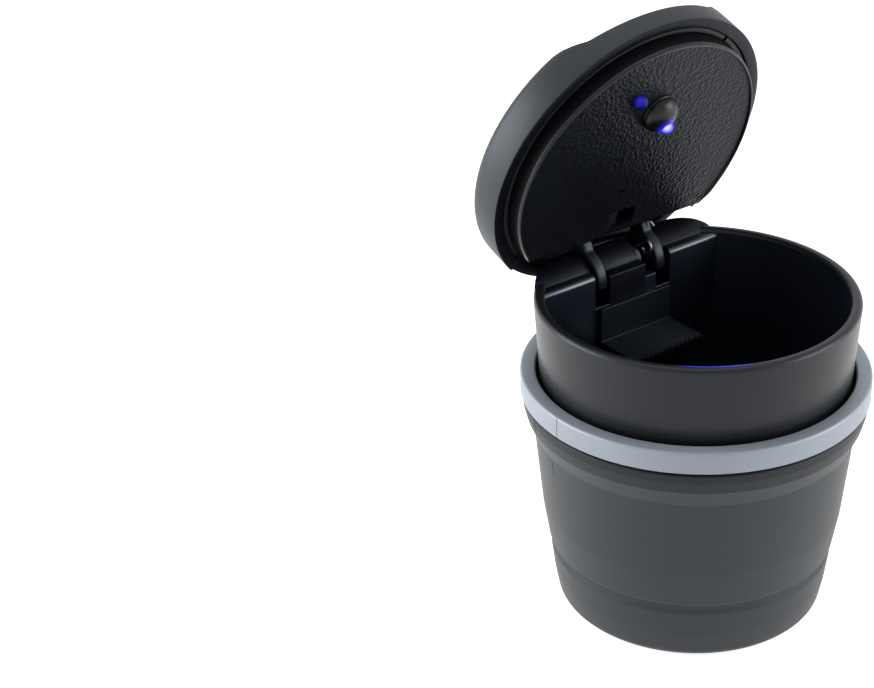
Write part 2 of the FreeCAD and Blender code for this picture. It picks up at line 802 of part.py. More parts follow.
def coin_cell():
    cell = doc.addObject("Part::Cylinder", "coin_cell")
    cell.Label = "coin_cell"
    bind(cell, "Radius", s.cell_radius)
    bind(cell, "Height", s.cell_height)
    middle = FreeCAD.Vector(0, s.cell_middle.value, number(s.plug_floor_top + s.seat_gap))
    cell.Placement = lid_open.multiply(FreeCAD.Placement(middle, FreeCAD.Rotation()))
    nodes.append(cell)


outer_sleeve()
silver_ring()
ash_cup()
snuffer_shelf()
hinge_pin()
torsion_spring()
lid_shell()
lid_liner()
lid_seal()
lid_trim()
thumb_handle()
led_hood()
for label, place in zip(("led_near", "led_far"), led_places()):
    led_bulb(label, place)
circuit_board()
coin_cell()
doc.recompute()

# Nothing is written unless every object is sound
for item in doc.Objects:
    if "Invalid" in item.State or "Error" in item.State:
        raise RuntimeError(f"{item.Label} is {item.State}")
for node in nodes:
    if node.Shape.isNull() or not node.Shape.isValid():
        raise RuntimeError(f"{node.Label} has no sound shape")
os.makedirs("parts", exist_ok=True)
for node in nodes:
    node.Shape.exportStep(f"parts/{node.Label}.step")
    print(node.Label, round(node.Shape.Volume, 1), len(node.Shape.Solids))
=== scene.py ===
import bpy
import bmesh
from math import sin, cos, acos, atan2, asin, sqrt, pi, radians
from mathutils import Matrix, Vector


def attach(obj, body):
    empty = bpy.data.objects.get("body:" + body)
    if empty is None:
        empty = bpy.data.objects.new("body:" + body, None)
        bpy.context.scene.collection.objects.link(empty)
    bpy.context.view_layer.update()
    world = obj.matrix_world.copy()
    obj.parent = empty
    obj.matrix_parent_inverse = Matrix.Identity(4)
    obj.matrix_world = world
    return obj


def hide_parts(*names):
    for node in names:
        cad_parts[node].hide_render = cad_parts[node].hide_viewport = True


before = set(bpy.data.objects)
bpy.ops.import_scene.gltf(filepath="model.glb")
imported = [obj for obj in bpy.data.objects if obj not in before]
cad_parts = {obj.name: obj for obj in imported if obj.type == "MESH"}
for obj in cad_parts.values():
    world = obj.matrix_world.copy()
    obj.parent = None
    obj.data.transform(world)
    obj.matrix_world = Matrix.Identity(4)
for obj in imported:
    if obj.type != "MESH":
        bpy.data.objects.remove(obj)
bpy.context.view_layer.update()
mm = 0.001  # shapes are drawn in millimetres
tiny = 1e-3  # millimetres; nearer than this is the same place
creaseLimit = radians(32)  # sharper edges stay crisp

# hinge pin, and how far the lid stands open
hinge = {"y": 29.7, "z": 73.7, "open": 70.0}
pinPoint = Vector((0, hinge["y"], hinge["z"]))
openTurn = (Matrix.Translation(pinPoint) @ Matrix.Rotation(radians(-hinge["open"]), 4, "X")
            @ Matrix.Translation(-pinPoint))


# small helpers

def smooth(low, high, value):
    share = min(1.0, max(0.0, (value - low) / (high - low)))
    return share * share * (3 - 2 * share)


def roundedPath(corners, steps=5):
    # corners are (u, v) or (u, v, radius); each radius becomes a short arc
    leastSlope = 0.02
    path = []
    count = len(corners)
    for index, corner in enumerate(corners):
        here = Vector(corner[:2])
        radius = corner[2] if len(corner) > 2 else 0
        if not radius:
            path.append((here.x, here.y))
            continue
        before = (Vector(corners[index - 1][:2]) - here).normalized()
        after = (Vector(corners[(index + 1) % count][:2]) - here).normalized()
        half = acos(max(-1, min(1, before.dot(after)))) / 2
        reach = radius / max(leastSlope, abs(sin(half) / cos(half)))
        middle = here + (before + after).normalized() * (radius / sin(half))
        first = here + before * reach - middle
        last = here + after * reach - middle
        start = atan2(first.y, first.x)
        turn = (atan2(last.y, last.x) - start + pi) % (2 * pi) - pi
        for step in range(steps + 1):
            angle = start + turn * step / steps
            path.append((middle.x + radius * cos(angle), middle.y + radius * sin(angle)))
    return path


def arcPoints(middle, radius, first, last, steps):
    # points along an arc, both ends included
    angles = [first + (last - first) * step / steps for step in range(steps + 1)]
    return [(middle[0] + radius * cos(angle), middle[1] + radius * sin(angle)) for angle in angles]


def softShade(mesh):
    mesh.shade_smooth()
    mesh.set_sharp_from_angle(angle=creaseLimit)


def linked(name, data):
    thing = bpy.data.objects.new(name, data)
    bpy.context.scene.collection.objects.link(thing)
    return thing


def finishMesh(name, mesh):
    mesh.transform(Matrix.Scale(mm, 4))
    work = bmesh.new()
    work.from_mesh(mesh)
    bmesh.ops.remove_doubles(work, verts=work.verts, dist=2 * tiny * mm)
    bmesh.ops.recalc_face_normals(work, faces=work.faces)
    work.to_mesh(mesh)
    work.free()
    softShade(mesh)
    return linked(name, mesh)


def rawMesh(name, points, faces, turn=None):
    mesh = bpy.data.meshes.new(name)
    mesh.from_pydata([tuple(point) for point in points], [], faces)
    if turn:
        mesh.transform(turn)
    return mesh


def columnFaces(columns, rows, closedRound=True):
    # each column of points is joined to the next; an open run gets flat ends
    faces = []
    for column in range(columns if closedRound else columns - 1):
        following = (column + 1) % columns
        for row in range(rows):
            below = (row + 1) % rows
            faces.append((column * rows + row, following * rows + row,
                          following * rows + below, column * rows + below))
    if not closedRound:
        count = columns * rows
        faces += [tuple(range(rows)), tuple(range(count - 1, count - rows - 1, -1))]
    return faces


def turned(name, profile, turn=None, segments=192, centre=(0, 0), grooves=()):
    # a closed (radius, height) profile turned round
    # grooves are (angle, half width, depth, low, high, least radius)
    sunkShare = 0.6  # of a groove's half width, so that only its middle columns sink
    angles = {2 * pi * index / segments for index in range(segments)}
    for spot, half, *_ in grooves:
        angles |= {radians(spot) + shift * half for shift in (-1, -0.5, 0.5, 1)}
    points = []
    for angle in sorted(angles):
        for radius, height in profile:
            for spot, half, depth, low, high, least in grooves:
                sunk = abs(angle - radians(spot)) < half * sunkShare and low <= height <= high
                if sunk and radius > least:
                    radius -= depth
            points.append((centre[0] + radius * sin(angle), centre[1] - radius * cos(angle), height))
    return finishMesh(name, rawMesh(name, points, columnFaces(len(angles), len(profile)), turn))


def settle(thing):
    # the shape that the modifiers give becomes the piece's plain mesh
    view = bpy.context.evaluated_depsgraph_get()
    mesh = bpy.data.meshes.new_from_object(thing.evaluated_get(view))
    thing.modifiers.clear()
    thing.data = mesh
    softShade(mesh)


def roundEdges(thing, width, segments=3, limit=40):
    # a small round on every edge that bends more than the limit, in degrees
    edge = thing.modifiers.new("edge", "BEVEL")
    edge.width = width * mm
    edge.segments = segments
    edge.limit_method = "ANGLE"
    edge.angle_limit = radians(limit)
    settle(thing)


def roundChosen(thing, chosen, width, segments):
    # a larger round on the edges that a test picks out by their two ends
    work = bmesh.new()
    work.from_mesh(thing.data)
    edges = [edge for edge in work.edges if chosen(*[vertex.co / mm for vertex in edge.verts])]
    bmesh.ops.bevel(work, geom=edges, offset=width * mm, segments=segments, profile=0.5, affect="EDGES")
    work.to_mesh(thing.data)
    work.free()


def prism(name, outline, low, high, axis, turn=None, bevel=0):
    # outline is in (y, z) for axis x, (x, z) for axis y and (x, y) for axis z
    setOut = {"x": lambda u, v, w: (w, u, v),
              "y": lambda u, v, w: (u, w, v),
              "z": lambda u, v, w: (u, v, w)}[axis]
    count = len(outline)
    points = [setOut(u, v, low) for u, v in outline] + [setOut(u, v, high) for u, v in outline]
    faces = [tuple(range(count)), tuple(range(2 * count - 1, count - 1, -1))]
    for index in range(count):
        following = (index + 1) % count
        faces.append((index, following, following + count, index + count))
    thing = finishMesh(name, rawMesh(name, points, faces, turn))
    if bevel:
        roundEdges(thing, bevel)
    return thing


def swingOpen(thing):
    # a piece of the lid that was finished shut
    thing.data.transform(Matrix.Scale(mm, 4) @ openTurn @ Matrix.Scale(1 / mm, 4))
    return thing


def cutWith(thing, tool):
    cut = thing.modifiers.new("cut", "BOOLEAN")
    cut.operation = "DIFFERENCE"
    cut.solver = "EXACT"
    cut.object = tool
    settle(thing)
    bpy.data.objects.remove(tool)


def place(thing, body, node, slot, *materials):
    if not thing.data.materials:
        for material in materials:
            thing.data.materials.append(material)
    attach(thing, body)
    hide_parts(node)


# shared shader groups

def newGroup(name, inputs, outputs):
    group = bpy.data.node_groups.new(name, "ShaderNodeTree")
    for label, value in inputs.items():
        socket = group.interface.new_socket(label, in_out="INPUT", socket_type="NodeSocketFloat")
        socket.default_value = value
    for label in outputs:
        group.interface.new_socket(label, in_out="OUTPUT", socket_type="NodeSocketFloat")
    return group, group.nodes.new("NodeGroupInput"), group.nodes.new("NodeGroupOutput")


def mouldGroup():
    # fine spark-eroded grain and slow smudges of a satin moulding
    group, given, result = newGroup("mouldSurface", {"Grain Scale": 3000, "Smudge Scale": 40},
                                    ["Tone", "Height"])
    where = group.nodes.new("ShaderNodeTexCoord")
    grain = group.nodes.new("ShaderNodeTexNoise")
    smudge = group.nodes.new("ShaderNodeTexNoise")
    grain.inputs["Detail"].default_value = 3
    smudge.inputs["Detail"].default_value = 4
    for noise, scale in ((grain, "Grain Scale"), (smudge, "Smudge Scale")):
        group.links.new(where.outputs["Object"], noise.inputs["Vector"])
        group.links.new(given.outputs[scale], noise.inputs["Scale"])
    group.links.new(smudge.outputs["Fac"], result.inputs["Tone"])
    group.links.new(grain.outputs["Fac"], result.inputs["Height"])
    return group


def leatherGroup():
    # wrinkled leather grain: cells pulled about by noise
    group, given, result = newGroup("leatherGrain", {"Cell Scale": 1300, "Pull": 0.0009},
                                    ["Tone", "Height"])
    where = group.nodes.new("ShaderNodeTexCoord")
    pull = group.nodes.new("ShaderNodeTexNoise")
    pull.inputs["Scale"].default_value = 600
    pull.inputs["Detail"].default_value = 3
    shift = group.nodes.new("ShaderNodeVectorMath")
    shift.operation = "MULTIPLY_ADD"
    spread = group.nodes.new("ShaderNodeCombineXYZ")
    cells = group.nodes.new("ShaderNodeTexVoronoi")
    cells.feature = "SMOOTH_F1"
    slow = group.nodes.new("ShaderNodeTexNoise")
    slow.inputs["Scale"].default_value = 60
    link = group.links.new
    link(where.outputs["Object"], pull.inputs["Vector"])
    for axis in "XYZ":
        link(given.outputs["Pull"], spread.inputs[axis])
    link(pull.outputs["Color"], shift.inputs[0])
    link(spread.outputs["Vector"], shift.inputs[1])
    link(where.outputs["Object"], shift.inputs[2])
    link(shift.outputs["Vector"], cells.inputs["Vector"])
    link(given.outputs["Cell Scale"], cells.inputs["Scale"])
    link(where.outputs["Object"], slow.inputs["Vector"])
    link(slow.outputs["Fac"], result.inputs["Tone"])
    link(cells.outputs["Distance"], result.inputs["Height"])
    return group


def bulbGroup():
    # light that falls off from a bulb's tip, with a hot core; the hood uses it for painted light from the
    # near bulb
    group, given, result = newGroup("bulbGlow", {"Tip X": 0, "Tip Y": 0, "Tip Z": 0,
                                                 "Core": 0.001, "Reach": 0.003}, ["Heat", "Glow"])
    where = group.nodes.new("ShaderNodeTexCoord")
    tip = group.nodes.new("ShaderNodeCombineXYZ")
    away = group.nodes.new("ShaderNodeVectorMath")
    away.operation = "DISTANCE"
    for axis in "XYZ":
        group.links.new(given.outputs["Tip " + axis], tip.inputs[axis])
    group.links.new(where.outputs["Object"], away.inputs[0])
    group.links.new(tip.outputs["Vector"], away.inputs[1])
    for label, size in (("Heat", "Core"), ("Glow", "Reach")):
        fall = group.nodes.new("ShaderNodeMapRange")
        fall.interpolation_type = "SMOOTHSTEP"
        fall.inputs["To Min"].default_value = 1
        fall.inputs["To Max"].default_value = 0
        group.links.new(away.outputs["Value"], fall.inputs["Value"])
        group.links.new(given.outputs[size], fall.inputs["From Max"])
        group.links.new(fall.outputs["Result"], result.inputs[label])
    return group


mouldSurface = mouldGroup()
leatherGrain = leatherGroup()
bulbGlow = bulbGroup()


def surface(name, look, group=None, tip=None):
    material = bpy.data.materials.new(name)
    material.use_nodes = True
    nodes, link = material.node_tree.nodes, material.node_tree.links.new
    shader = nodes["Principled BSDF"]
    shader.inputs["Metallic"].default_value = look.get("metal", 0)
    shader.inputs["Specular IOR Level"].default_value = look.get("specular", 0.5)
    pattern = nodes.new("ShaderNodeGroup")
    pattern.node_tree = group or mouldSurface
    colour = nodes.new("ShaderNodeMix")
    colour.data_type = "RGBA"
    colour.inputs["A"].default_value = (*look["dark"], 1)
    colour.inputs["B"].default_value = (*look["light"], 1)
    link(pattern.outputs["Tone"], colour.inputs["Factor"])
    link(colour.outputs["Result"], shader.inputs["Base Color"])
    rough = nodes.new("ShaderNodeMapRange")
    rough.inputs["To Min"].default_value = look["rough"][0]
    rough.inputs["To Max"].default_value = look["rough"][1]
    link(pattern.outputs["Tone"], rough.inputs["Value"])
    link(rough.outputs["Result"], shader.inputs["Roughness"])
    bump = nodes.new("ShaderNodeBump")
    bump.inputs["Strength"].default_value = look.get("bump", 0.1)
    bump.inputs["Distance"].default_value = look.get("depth", 0.05) * mm
    link(pattern.outputs["Height"], bump.inputs["Height"])
    link(bump.outputs["Normal"], shader.inputs["Normal"])
    shader.inputs["Specular Tint"].default_value = (*look.get("tint", (1, 1, 1)), 1)
    if "glow" in look:
        lit = nodes.new("ShaderNodeGroup")
        lit.node_tree = bulbGlow
        for label, value in (("Tip X", tip.x), ("Tip Y", tip.y), ("Tip Z", tip.z), ("Core", look["core"]),
                             ("Reach", look["reach"])):
            lit.inputs[label].default_value = value * mm
        heat = nodes.new("ShaderNodeMix")
        heat.data_type = "RGBA"
        heat.inputs["A"].default_value = (*look["glow"], 1)
        heat.inputs["B"].default_value = (*look["hot"], 1)
        level = nodes.new("ShaderNodeMath")
        level.operation = "MULTIPLY"
        level.inputs[1].default_value = look["strength"]
        link(lit.outputs["Heat"], heat.inputs["Factor"])
        link(lit.outputs["Glow"], level.inputs[0])
        link(heat.outputs["Result"], shader.inputs["Emission Color"])
        link(level.outputs["Value"], shader.inputs["Emission Strength"])
    return material


# what each finish looks like
sleeveLook = {"dark": (0.014, 0.017, 0.020), "light": (0.020, 0.023, 0.026), "rough": (0.42, 0.52),
              "bump": 0.15, "tint": (0.90, 0.95, 1.0), "specular": 0.41}
silverLook = {"dark": (0.28, 0.315, 0.365), "light": (0.32, 0.355, 0.405), "rough": (0.40, 0.48),
              "metal": 0.2}
# painted shade: a darker, less shiny copy of the sleeve paint for the collar under the ring
collarShadeLook = dict(sleeveLook, specular=0.27, dark=(0.010, 0.012, 0.015), light=(0.014, 0.016, 0.020))
cupLook = {"dark": (0.005, 0.006, 0.008), "light": (0.008, 0.009, 0.012), "rough": (0.29, 0.37),
           "bump": 0.1, "specular": 0.31, "tint": (0.95, 0.97, 1.0)}
# painted shade: a darker, rougher, bluer copy of the cup paint for the cup's inside, the parts in it and
# the arms under the lid
insideShadeLook = {"dark": (0.004, 0.006, 0.011), "light": (0.006, 0.008, 0.014), "rough": (0.34, 0.42),
              "bump": 0.1, "tint": (0.8, 0.88, 1.0), "specular": 0.32}
# painted shade: a still darker, duller copy for the hinge barrels, the hinge block and the lid's downward
# faces
barrelShadeLook = dict(insideShadeLook, specular=0.14, dark=(0.003, 0.004, 0.008), light=(0.005, 0.006, 0.010))
# painted highlight: a lighter, shinier paint for the ledges' rounded front edges and the recess tongue
ledgeHighlightLook = {"dark": (0.006, 0.007, 0.011), "light": (0.009, 0.010, 0.015), "rough": (0.25, 0.33),
             "specular": 0.8, "tint": (0.85, 0.92, 1.0)}
lidLook = {"dark": (0.013, 0.016, 0.019), "light": (0.018, 0.021, 0.024), "rough": (0.42, 0.52),
           "bump": 0.15, "tint": (0.82, 0.91, 1.0), "specular": 0.42}
grainLook = {"dark": (0.004, 0.005, 0.008), "light": (0.006, 0.007, 0.010), "rough": (0.34, 0.42),
             "bump": 1.0, "depth": 0.2, "specular": 0.14, "tint": (0.8, 0.9, 1.0)}
beadLook = {"dark": (0.004, 0.005, 0.007), "light": (0.006, 0.007, 0.010), "rough": (0.26, 0.34),
            "specular": 0.32, "tint": (0.9, 0.95, 1.0)}
# painted shade: a near-black, nearly unshiny paint for hollows and walls that lie in shadow
wallShadeLook = {"dark": (0.003, 0.003, 0.005), "light": (0.005, 0.005, 0.007), "rough": (0.4, 0.5),
            "specular": 0.06}
rubberLook = {"dark": (0.010, 0.010, 0.010), "light": (0.018, 0.018, 0.018), "rough": (0.6, 0.7),
              "bump": 0.2}
steelLook = {"dark": (0.45, 0.45, 0.46), "light": (0.60, 0.60, 0.61), "rough": (0.22, 0.32),
             "metal": 1.0}
springLook = {"dark": (0.20, 0.20, 0.21), "light": (0.28, 0.28, 0.29), "rough": (0.30, 0.40),
              "metal": 1.0}
brightBulbLook = {"dark": (0.004, 0.004, 0.05), "light": (0.006, 0.006, 0.08), "rough": (0.2, 0.3),
                  "specular": 0.2, "glow": (0.015, 0.015, 1.0), "hot": (0.9, 0.9, 1.6),
                  "strength": 1.0, "core": 1.8, "reach": 5.0}
hoodGlowLook = {"dark": (0.004, 0.005, 0.006), "light": (0.007, 0.008, 0.009), "rough": (0.28, 0.36),
            "specular": 0.28, "glow": (0.015, 0.015, 1.0), "hot": (0.9, 0.9, 1.6),
            "strength": 1.0, "core": 1.2, "reach": 3.2}
dimBulbLook = {"dark": (0.004, 0.004, 0.04), "light": (0.006, 0.006, 0.05), "rough": (0.3, 0.4),
               "specular": 0.1, "glow": (0.02, 0.025, 0.9), "hot": (0.05, 0.06, 1.0),
               "strength": 0.42, "core": 1.0, "reach": 2.5}
boardLook = {"dark": (0.01, 0.10, 0.03), "light": (0.02, 0.15, 0.05), "rough": (0.4, 0.5)}

sleevePaint = surface("sleevePaint", sleeveLook)
collarShadePaint = surface("collarShadePaint", collarShadeLook)
silverPaint = surface("silverPaint", silverLook)
cupPaint = surface("cupPaint", cupLook)
lidPaint = surface("lidPaint", lidLook)
grainPaint = surface("grainPaint", grainLook, leatherGrain)
rubberPaint = surface("rubberPaint", rubberLook)
steelPaint = surface("steelPaint", steelLook)
springPaint = surface("springPaint", springLook)
insideShadePaint = surface("insideShadePaint", insideShadeLook)
barrelShadePaint = surface("barrelShadePaint", barrelShadeLook)
ledgeHighlightPaint = surface("ledgeHighlightPaint", ledgeHighlightLook)
beadPaint = surface("beadPaint", beadLook)
wallShadePaint = surface("wallShadePaint", wallShadeLook)
boardPaint = surface("boardPaint", boardLook)
print("materials ready")

# sleeve and ring
sleeve = {"outside": [(0, 0), (30.9, 0, 2.8), (32.2, 7, 12), (33.0, 13.2, 1.5), (32.5, 14.7, 1.0),
                      (33.45, 16.2, 1.5), (34.9, 25, 20), (36.35, 39.5), (36.5, 41), (36.85, 44.6, 1.2),
                      (38.7, 48.8, 1.2), (39.4, 51.6, 1.0), (39.5, 53.5, 0.4), (38.3, 54.1, 0.2),
                      (38.3, 54.35)],
          "inside": [(38.35, 54.45), (38.35, 57.5), (36.4, 57.5), (30.2, 2.0), (0, 2.0)],
          "collar": 48.9,
          "grooves": [(253.6, 0.005, 0.25, 49.3, 52.4, 38), (258.9, 0.005, 0.2, 40, 44.3, 36)]}
ring = {"section": [(36.4, 59.6, 0.5), (40.0, 59.6, 0.6), (40.0, 54.4, 0.35), (38.5, 54.4, 0.2),
                    (38.5, 57.6), (36.4, 57.6)],
        "grooves": [(269.4, 0.004, 0.15, 54, 60, 39)]}
sleeveProfile = roundedPath(sleeve["outside"] + sleeve["inside"], 6)
sleevePiece = turned("sleeveWall", sleeveProfile, grooves=sleeve["grooves"])
ringPiece = turned("capRing", roundedPath(ring["section"], 5), grooves=ring["grooves"])
# faces above the collar's height get the darker copy: painted shade of the ring's overhang
for face in sleevePiece.data.polygons:
    face.material_index = 1 if sleeve["collar"] * mm < face.center.z else 0
place(sleevePiece, "base_unit", "outer_sleeve", "sleeve_plastic", sleevePaint, collarShadePaint)
place(ringPiece, "base_unit", "silver_ring", "silver_plastic", silverPaint)
print("sleeve and ring done")

# ash cup and the hinge housing in its back
cup = {"wall": [(0, 2.05), (29.4, 2.05, 1.5), (35.4, 56), (36.8, 78.0, 1.1), (34.2, 78.0, 1.1),
                (33.4, 56), (27.4, 4.05, 2.0), (0, 4.05)],
       "rim": 36.8, "top": 78.0, "front": 21.9, "ledge": 77.0, "bottom": 52.0, "inside": 34.5,
       "shade": 77.6, "level": 0.5}
barrel = {"radius": 6.0, "chamber": 10.5, "lean": 0.0636, "inset": 0.12, "round": 0.4}
deck = {"slot": 11.3, "edge": 1.3, "round": 0.3, "slant": 0.2}
slotFace = {"half": 11.5, "top": 68.7, "back": 23.2, "round": 0.3}
block = {"half": 7.2, "ledge": 75.8, "radius": 5.5, "back": 33.5, "foot": 60.0, "round": 0.35}
springRoom = {"start": 4.0, "overlap": 0.5, "top": 72.5, "back": 24.8, "round": 0.3}


def barrelSide(name, side):
    # a cylinder on the pin's line whose outer end follows the cup's round outside
    steps = 72
    points = []
    for depth, height in arcPoints((hinge["y"], hinge["z"]), barrel["radius"], 0, 2 * pi, steps)[:-1]:
        wall = cup["rim"] - barrel["lean"] * max(0, cup["top"] - height) - barrel["inset"]
        end = sqrt(wall ** 2 - depth ** 2)
        points += [(side * barrel["chamber"], depth, height), (side * end, depth, height)]
    faces = []
    for step in range(steps):
        following = 2 * ((step + 1) % steps)
        faces.append((2 * step, 2 * step + 1, following + 1, following))
    faces += [tuple(range(0, 2 * steps, 2)), tuple(range(1, 2 * steps, 2))]
    thing = finishMesh(name, rawMesh(name, points, faces))
    roundEdges(thing, barrel["round"])
    return thing


def onDeckFront(*ends):
    return all(abs(end.y - cup["front"]) < tiny and abs(end.z - cup["ledge"]) < tiny for end in ends)


def deckSide(name, side):
    # the ledge beside the slot, back to the cup's wall
    reach = sqrt(cup["inside"] ** 2 - cup["front"] ** 2)
    first = atan2(cup["front"], reach)
    last = acos(deck["slot"] / cup["inside"])
    outline = [(deck["slot"], cup["front"])] + arcPoints((0, 0), cup["inside"], first, last, 20)
    thing = prism(name, [(side * u, v) for u, v in outline], cup["bottom"], cup["ledge"], "z")
    roundChosen(thing, onDeckFront, deck["edge"], 5)
    roundEdges(thing, deck["round"])
    for face in thing.data.polygons:
        # the rounded front edge gets a lighter, shinier paint: painted highlight
        face.material_index = 1 if face.normal.y < -deck["slant"] and face.normal.z > deck["slant"] else 0
    return thing


cupPieces = [turned("cupWall", roundedPath(cup["wall"], 6))]
for side, label in ((-1, "Left"), (1, "Right")):
    cupPieces.append(barrelSide("barrel" + label, side))
    cupPieces.append(deckSide("deck" + label, side))
slotFront = [(-slotFace["half"], cup["bottom"]), (slotFace["half"], cup["bottom"]),
             (slotFace["half"], slotFace["top"]), (-slotFace["half"], slotFace["top"])]
cupPieces.append(prism("slotWall", slotFront, cup["front"], slotFace["back"], "y", bevel=slotFace["round"]))
reach = sqrt(block["radius"] ** 2 - (block["ledge"] - hinge["z"]) ** 2)
startAngle = acos(-reach / block["radius"])
stopAngle = acos((block["back"] - hinge["y"]) / block["radius"])
hump = arcPoints((hinge["y"], hinge["z"]), block["radius"], startAngle, stopAngle, 24)
blockOutline = [(cup["front"], block["foot"]), (cup["front"], block["ledge"])] + hump
blockOutline.append((block["back"], block["foot"]))
cupPieces.append(prism("hingeBlock", blockOutline, -block["half"], springRoom["start"], "x",
                       bevel=block["round"]))
springWall = [(cup["front"], block["foot"]), (cup["front"], springRoom["top"]),
              (springRoom["back"], springRoom["top"]), (springRoom["back"], block["foot"])]
cupPieces.append(prism("springWall", springWall, springRoom["start"] - springRoom["overlap"], block["half"],
                       "x", bevel=springRoom["round"]))
for face in cupPieces[0].data.polygons:
    # inside and floor get a darker, rougher, bluer copy of the cup paint than the outside and the lip:
    # painted shade
    outward = face.normal.x * face.center.x + face.normal.y * face.center.y
    lower = face.center.z < cup["shade"] * mm
    face.material_index = 1 if lower and (outward < 0 or face.normal.z > cup["level"]) else 0
# barrels and hinge block take the darkest copy: painted shade
cupPaints = {"cupWall": [cupPaint, insideShadePaint], "barrelLeft": [barrelShadePaint], "barrelRight": [barrelShadePaint],
             "hingeBlock": [barrelShadePaint]}
for piece in cupPieces:
    paints = cupPaints.get(piece.name, [insideShadePaint, ledgeHighlightPaint])
    place(piece, "base_unit", "ash_cup", "cup_plastic", *paints)
print("cup and housing done")

# toothed shelf: a plate, a shelf, and teeth set out along its edge by nodes
shelf = {"half": 10.5, "back": 21.85, "edge": 8.9, "low": 59.0, "top": 68.6, "sheet": 1.2, "round": 0.15,
         "teeth": 14, "tooth": 0.9}
shelfPath = [(shelf["edge"], shelf["low"]), (shelf["edge"], shelf["low"] + shelf["sheet"]),
             (shelf["back"] - shelf["sheet"], shelf["low"] + shelf["sheet"]),
             (shelf["back"] - shelf["sheet"], shelf["top"]), (shelf["back"], shelf["top"]),
             (shelf["back"], shelf["low"])]
shelfPiece = prism("shelfPlate", shelfPath, -shelf["half"], shelf["half"], "x",
                   bevel=shelf["round"])
place(shelfPiece, "base_unit", "snuffer_shelf", "shelf_metal", insideShadePaint)


def nodeTree(name, inputs):
    tree = bpy.data.node_groups.new(name, "GeometryNodeTree")
    tree.interface.new_socket("Geometry", in_out="OUTPUT", socket_type="NodeSocketGeometry")
    for label, kind, value in inputs:
        tree.interface.new_socket(label, in_out="INPUT", socket_type=kind).default_value = value
    return tree, tree.nodes.new("NodeGroupInput"), tree.nodes.new("NodeGroupOutput")


def grown(name, tree, values, turn):
    # a piece made wholly by its node tree, kept as a plain mesh
    thing = linked(name, bpy.data.meshes.new(name))
    nodesStep = thing.modifiers.new("nodes", "NODES")
    nodesStep.node_group = tree
    for item in tree.interface.items_tree:
        if item.in_out == "INPUT" and item.name in values:
            nodesStep[item.identifier] = values[item.name]
    settle(thing)
    thing.data.transform(turn)
    return thing


def toothTree():
    floatKind = "NodeSocketFloat"
    sideToRadius = 0.577  # of a three-sided prism
    tree, given, result = nodeTree("toothRow", [("Count", "NodeSocketInt", 14),
                                                ("Pitch", floatKind, 0.0015),
                                                ("Depth", floatKind, 0.0009),
                                                ("Sheet", floatKind, 0.0012)])
    add, link = tree.nodes.new, tree.links.new
    row = add("GeometryNodeMeshLine")
    step = add("ShaderNodeCombineXYZ")
    tooth = add("GeometryNodeMeshCylinder")  # three sides, so a prism
    tooth.inputs["Vertices"].default_value = 3
    size = add("ShaderNodeCombineXYZ")
    onRow = add("GeometryNodeInstanceOnPoints")
    real = add("GeometryNodeRealizeInstances")
    paint = add("GeometryNodeSetMaterial")
    paint.inputs["Material"].default_value = cupPaint
    half = add("ShaderNodeMath")
    half.operation = "MULTIPLY"
    half.inputs[1].default_value = sideToRadius
    link(given.outputs["Count"], row.inputs["Count"])
    link(given.outputs["Pitch"], step.inputs["X"])
    link(step.outputs["Vector"], row.inputs["Offset"])
    link(given.outputs["Pitch"], half.inputs[0])
    link(half.outputs["Value"], size.inputs["X"])
    link(given.outputs["Depth"], size.inputs["Y"])
    link(given.outputs["Sheet"], size.inputs["Z"])
    tooth.inputs["Radius"].default_value = 1
    tooth.inputs["Depth"].default_value = 1
    link(row.outputs["Mesh"], onRow.inputs["Points"])
    link(tooth.outputs["Mesh"], onRow.inputs["Instance"])
    link(size.outputs["Vector"], onRow.inputs["Scale"])
    link(onRow.outputs["Instances"], real.inputs["Geometry"])
    link(real.outputs["Geometry"], paint.inputs["Geometry"])
    link(paint.outputs["Geometry"], result.inputs["Geometry"])
    return tree


pitch = 2 * shelf["half"] / shelf["teeth"]
rowStart = Vector((-shelf["half"] + pitch / 2, shelf["edge"], shelf["low"] + shelf["sheet"] / 2)) * mm
rowShift = Vector((-2 * shelf["half"] + pitch, 0, 0)) * mm
rowTurn = Matrix.Translation(rowStart) @ Matrix.Rotation(pi, 4, "Z") @ Matrix.Translation(rowShift)
toothValues = {"Count": shelf["teeth"], "Pitch": pitch * mm, "Depth": shelf["tooth"] * mm,
               "Sheet": shelf["sheet"] * mm}
teethPiece = grown("shelfTeeth", toothTree(), toothValues, rowTurn)
place(teethPiece, "base_unit", "snuffer_shelf", "shelf_metal", cupPaint)

# pin and torsion spring
pin = {"radius": 1.2, "half": 15.0}
spring = {"wire": 0.35, "coil": 2.7, "turns": 3.5, "start": 4.55, "length": 2.1, "leg": 5.8, "rise": 36,
          "curl": 1.6, "tail": [(9.7, 20.2, 74.6), (9.9, 20.5, 74.0), (10.05, 20.75, 73.4)]}
pinPath = arcPoints((hinge["y"], hinge["z"]), pin["radius"], 0, 2 * pi, 40)[:-1]
pinPiece = prism("hingePin", pinPath, -pin["half"], pin["half"], "x")
place(pinPiece, "base_unit", "hinge_pin", "steel", steelPaint)


